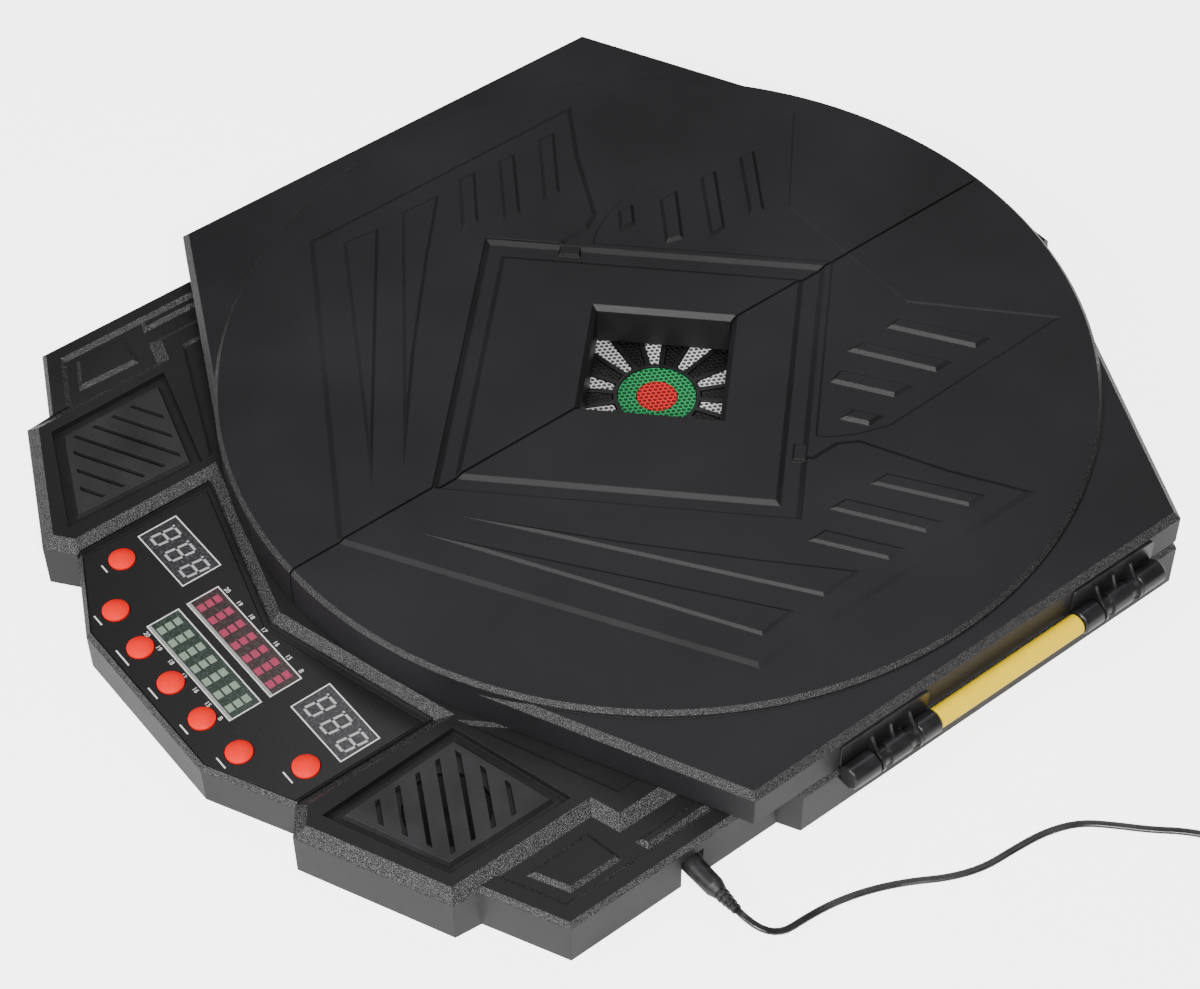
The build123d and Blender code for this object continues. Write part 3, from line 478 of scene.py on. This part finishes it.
spider_plastic = mottled("spider_plastic", (0.007, 0.007, 0.0075), 0.3, 0.4, 200, 3,
                         (0.006, 0.006, 0.0065), (0.012, 0.012, 0.013))
grained(spider_plastic, 1500, 2, 0.00008, 0.5, 0.0003)
wear_finish(["spider"], spider_plastic)

sensor_film = mottled("sensor_film", (0.05, 0.05, 0.05), 0.6, 0.4, 150, 3,
                      (0.03, 0.03, 0.03), (0.08, 0.08, 0.075))
wear_finish(["sensor_mat", "keypad_mat"], sensor_film)

# ---- Steps shared by all added pieces --------------------------------------------------


def clear_choice():
    bpy.ops.object.select_all(action="DESELECT")


def keep_place_in_mesh():
    bpy.ops.object.transform_apply(location=True, rotation=True, scale=True)


def settle(piece, name, body, finish):
    """Names a finished piece, leaves its place in its mesh, and lets it ride on a body."""
    clear_choice()
    bpy.context.view_layer.objects.active = piece
    piece.select_set(True)
    keep_place_in_mesh()
    piece.name = name
    piece.data.name = name
    piece.data.materials.clear()
    piece.data.materials.append(finish)
    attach(piece, body)


def joined(pieces):
    """One piece made of several."""
    clear_choice()
    for piece in pieces:
        piece.select_set(True)
    bpy.context.view_layer.objects.active = pieces[0]
    bpy.ops.object.join()
    return bpy.context.object


def figure(text, size, place, half_thickness):
    """A letter or number as a thin flat mesh."""
    clear_choice()
    bpy.ops.object.text_add(location=place)
    made = bpy.context.object
    made.data.body = text
    made.data.size = size
    made.data.align_x = "CENTER"
    made.data.align_y = "CENTER"
    made.data.resolution_u = 4
    made.data.extrude = half_thickness
    bpy.ops.object.convert(target="MESH")
    return bpy.context.object


def thin_box(place, size):
    """A small flat box round a place."""
    clear_choice()
    bpy.ops.mesh.primitive_cube_add(size=1, location=place)
    made = bpy.context.object
    made.scale = size
    keep_place_in_mesh()
    return made


def centre_of(low, high):
    return (low.x + high.x) / 2, (low.y + high.y) / 2


ink_white = mottled("ink_white", (0.78, 0.78, 0.77), 0.5, 0.4, 900, 3,
                    (0.70, 0.70, 0.69), (0.86, 0.86, 0.85), (0.3, 0.75))

# ---- Numbers of the target ---------------------------------------------------------------
# Flat white figures fixed to the face of the number ring, which falls a little outwards,
# one for each sector.
sector_numbers = "20 1 18 4 13 6 10 15 2 17 3 19 7 16 8 11 14 9 12 5".split()
sector_angle = 18
number_size = 0.021
number_half_thickness = 0.0003
number_lift = 0.00015
number_radius = 0.1915
ring_inner = 0.1750
ring_outer = 0.2087
ring_fall = 0.0022
ring_slope = math.atan2(ring_fall, ring_outer - ring_inner)
ring_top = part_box("number_ring")[1].z
number_z = ring_top - (number_radius - ring_inner) * math.tan(ring_slope) + number_lift
figures = []
for k, text in enumerate(sector_numbers):
    around = math.radians(90 - sector_angle * k)
    place = (number_radius * math.cos(around), number_radius * math.sin(around), number_z)
    made = figure(text, number_size, place, number_half_thickness)
    made.rotation_mode = "QUATERNION"
    facing = Matrix.Rotation(around - math.pi / 2, 4, "Z") @ Matrix.Rotation(-ring_slope, 4, "X")
    made.rotation_quaternion = facing.to_quaternion()
    figures.append(made)
settle(joined(figures), "ring_numbers", "cabinet", ink_white)

# ---- Control panel ----------------------------------------------------------------------
# A black printed overlay in a shallow pocket. Two windows show three unlit figures each,
# and two show blocks of lamps, seven columns of three, red above and green below.
face_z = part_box("control_panel")[1].z
ink_lift = 0.00003
panel_gloss = mottled("panel_gloss", (0.008, 0.008, 0.0085), 0.3, 0.45, 1500, 1,
                      (0.008, 0.008, 0.0085), (0.06, 0.06, 0.06), (0.70, 0.78))
grained(panel_gloss, 2000, 2, 0.00006, 0.5, 0.0003)
wear_finish(["control_panel"], panel_gloss)

display_window = mottled("display_window", (0.03, 0.03, 0.032), 0.22, 0.5, 1400, 1,
                         (0.022, 0.022, 0.024), (0.075, 0.075, 0.08), (0.52, 0.70))
red_window = mottled("red_window", (0.03, 0.02, 0.02), 0.22, 0.5, 1100, 1,
                     (0.030, 0.018, 0.018), (0.075, 0.05, 0.05), (0.5, 0.7))
green_window = mottled("green_window", (0.02, 0.03, 0.024), 0.22, 0.5, 1100, 1,
                       (0.020, 0.032, 0.025), (0.055, 0.08, 0.065), (0.5, 0.7))
wear_finish(["display_left", "display_right"], display_window)
wear_finish(["score_array_upper"], red_window)
wear_finish(["score_array_lower"], green_window)
outline_width = 0.0006
outline_thickness = 0.00006


def window_frame(node):
    """A printed white outline round a window."""
    low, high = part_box(node)
    clear_choice()
    bpy.ops.mesh.primitive_plane_add(size=1, location=(*centre_of(low, high), face_z + ink_lift))
    made = bpy.context.object
    made.scale = (high.x - low.x + 2 * outline_width, high.y - low.y + 2 * outline_width, 1)
    keep_place_in_mesh()
    bpy.ops.object.mode_set(mode="EDIT")
    bpy.ops.mesh.select_all(action="SELECT")
    bpy.ops.mesh.inset(thickness=outline_width, depth=0)
    bpy.ops.mesh.delete(type="FACE")
    bpy.ops.object.mode_set(mode="OBJECT")
    ink = made.modifiers.new("ink", "SOLIDIFY")
    ink.thickness = outline_thickness
    ink.offset = 0
    bpy.ops.object.modifier_apply(modifier="ink")
    return made


displays = ("display_left", "display_right")
arrays = ("score_array_upper", "score_array_lower")
outlines = [window_frame(node) for node in displays + arrays]
settle(joined(outlines), "window_outlines", "cabinet", ink_white)

segment_grey = mottled("segment_grey", (0.42, 0.42, 0.43), 0.4, 0.5, 1300, 2,
                       (0.30, 0.30, 0.31), (0.52, 0.52, 0.53))
figure_width = 0.0076
figure_height = 0.0140
stroke = 0.00125
stroke_gap = 0.15 * stroke
stroke_thickness = 0.00009
lean = 0.0016
figure_places = (-0.0116, 0.0010, 0.0136)
figure_drop = 0.0002
point_radius = 0.0006
point_thickness = 0.00012
point_place = (-0.0042, 0.0066, 0.00003)
window_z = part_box("display_left")[1].z


def eight(centre_x, centre_y):
    """The seven strokes and the point of one unlit figure, leaning a little to the right."""
    half_w = (figure_width - stroke) / 2
    half_h = (figure_height - stroke) / 2
    middle_z = stroke_thickness / 2
    level_bar = (figure_width - 2 * stroke - stroke_gap, stroke, stroke_thickness)
    upright_bar = (stroke, half_h - stroke - stroke_gap, stroke_thickness)
    strokes = [thin_box((0, y, middle_z), level_bar) for y in (-half_h, 0, half_h)]
    strokes += [thin_box((x, y, middle_z), upright_bar)
                for x in (-half_w, half_w) for y in (-half_h / 2, half_h / 2)]
    clear_choice()
    bpy.ops.mesh.primitive_cylinder_add(vertices=16, radius=point_radius, depth=point_thickness,
                                        location=point_place)
    strokes.append(bpy.context.object)
    made = joined(strokes)
    for corner in made.data.vertices:
        corner.co.x += lean * corner.co.y / figure_height
    made.location = (centre_x, centre_y, window_z)
    return made


for node in displays:
    middle_x, middle_y = centre_of(*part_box(node))
    eights = [eight(middle_x + x, middle_y - figure_drop) for x in figure_places]
    settle(joined(eights), node + "_figures", "cabinet", segment_grey)

lamp_red = mottled("lamp_red", (0.36, 0.035, 0.085), 0.35, 0.5, 900, 2,
                   (0.22, 0.018, 0.05), (0.48, 0.06, 0.13))
lamp_green = mottled("lamp_green", (0.20, 0.27, 0.20), 0.35, 0.5, 900, 2,
                     (0.13, 0.18, 0.13), (0.30, 0.38, 0.30))
lamp_columns = 7
lamp_rows = 3
lamp_size = (0.0044, 0.0034, 0.0002)
first_column = 0.0057
column_pitch = 0.00957
row_pitch = 0.0044
lamp_edge = 0.00006
for node, finish, slot_name in zip(arrays, (lamp_red, lamp_green), ("array_red", "array_green")):
    low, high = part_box(node)
    middle_y = (low.y + high.y) / 2
    lamps = joined([
        thin_box((low.x + first_column + column_pitch * column, middle_y + row_pitch * (row - 1), high.z),
                 lamp_size)
        for column in range(lamp_columns) for row in range(lamp_rows)])
    soft = lamps.modifiers.new("edge", "BEVEL")
    soft.width = lamp_edge
    bpy.ops.object.modifier_apply(modifier="edge")
    settle(lamps, node + "_lamps", "cabinet", finish)

# A light streaked strip along one long edge of each lamp window: a painted highlight on the window.
painted_window_highlight = plain_finish("painted_window_highlight", (0.30, 0.30, 0.30), 0.35, 0.5)
two_tone(painted_window_highlight, speckle(painted_window_highlight, 500, 3, (1, 4, 1)), (0.16, 0.16, 0.16), (0.42, 0.42, 0.42))
strip_inset = 0.0008
strip_width = 0.0012
strip_shortening = 0.0004
strip_thickness = 0.00012
strips = []
for node in arrays:
    low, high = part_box(node)
    strips.append(thin_box(((low.x + high.x) / 2, low.y + strip_inset, high.z),
                           (high.x - low.x - strip_shortening, strip_width, strip_thickness)))
settle(joined(strips), "window_highlight_strips", "cabinet", painted_window_highlight)

# One row of numbers over the upper array and one under the lower: from x, to x, at y.
column_texts = "20 19 18 17 16 15 B".split()
number_rows = ((-0.0302, 0.0312, -0.2336), (-0.0309, 0.0311, -0.2772))
column_number_size = 0.0033
numerals = []
for left, right, y in number_rows:
    for k, text in enumerate(column_texts):
        x = left + (right - left) * k / 6
        numerals.append(figure(text, column_number_size, (x, y, face_z + ink_lift), ink_lift))
settle(joined(numerals), "column_numbers", "cabinet", ink_white)

# ---- Press buttons ------------------------------------------------------------------------
# Domed orange-red caps that stand through round holes in the overlay, each with a small
# plain printed dash below it in place of its label.
button_red = mottled("button_red", (1.0, 0.008, 0.003), 0.45, 0.2, 700, 3,
                     (0.95, 0.007, 0.003), (1.0, 0.014, 0.006), (0.3, 0.75))
shader_of(button_red).inputs["Subsurface Weight"].default_value = 0.15
shader_of(button_red).inputs["Subsurface Radius"].default_value = (0.002, 0.0006, 0.0004)
grained(button_red, 1800, 2, 0.00004, 0.5, 0.0004)
buttons = [f"button_{k}" for k in range(1, 8)]
wear_finish(buttons, button_red)
dash_lengths = (0.0052, 0.0068, 0.0110, 0.0078, 0.0066, 0.0072, 0.0076)
dash_width = 0.0007
dash_thickness = 0.00006
dash_gap = 0.0018
dashes = []
for name, length in zip(buttons, dash_lengths):
    low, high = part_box(name)
    dashes.append(thin_box(((low.x + high.x) / 2, low.y - dash_gap, face_z + ink_lift),
                           (length, dash_width, dash_thickness)))
settle(joined(dashes), "button_marks", "cabinet", ink_white)

# ---- Inside and small metal parts ----------------------------------------------------------
# Green circuit board, black speaker with a paper cone, screws in black zinc, magnets in
# the doors with steel tabs on the ring, and a plain rack of clips for the darts.
circuit_board = mottled("circuit_board", (0.01, 0.08, 0.03), 0.35, 0.5, 300, 3,
                        (0.008, 0.06, 0.022), (0.02, 0.12, 0.045))
wear_finish(["panel_board"], circuit_board)

speaker_paper = mottled("speaker_paper", (0.01, 0.01, 0.01), 0.75, 0.2, 900, 4,
                        (0.006, 0.006, 0.006), (0.02, 0.02, 0.02))
wear_finish(["speaker_driver"], speaker_paper)

black_zinc = plain_finish("black_zinc", (0.10, 0.10, 0.105), 0.35, metallic=1.0)
worn(black_zinc, speckle(black_zinc, 700, 3), 0.3, 0.7, 0.25, 0.5)
grained(black_zinc, 1200, 2, 0.00005, 0.5, 0.0003)
wear_finish(["rear_screws", "ring_screws"], black_zinc)

catch_steel = plain_finish("catch_steel", (0.55, 0.55, 0.56), 0.32, metallic=1.0)
grained(catch_steel, 900, 3, 0.00004, 0.5, 0.0002, (1, 8, 1))
wear_finish(["catch_plates"], catch_steel)

ferrite = mottled("ferrite", (0.03, 0.03, 0.032), 0.5, 0.5, 800, 3,
                  (0.02, 0.02, 0.022), (0.06, 0.06, 0.063))
grained(ferrite, 1500, 3, 0.0001, 0.6, 0.0004)
wear_finish(["door_magnets_right", "door_magnets_left"], ferrite)

rack_plastic = mottled("rack_plastic", (0.012, 0.012, 0.013), 0.4, 0.5, 200, 3,
                       (0.009, 0.009, 0.010), (0.024, 0.024, 0.026))
grained(rack_plastic, 1900, 2, 0.0001, 0.5, 0.0004)
wear_finish(["dart_rack_right", "dart_rack_left"], rack_plastic)

jack_gloss = mottled("jack_gloss", (0.010, 0.010, 0.011), 0.25, 0.5, 300, 3,
                     (0.008, 0.008, 0.009), (0.02, 0.02, 0.021))
wear_finish(["power_jack"], jack_gloss)
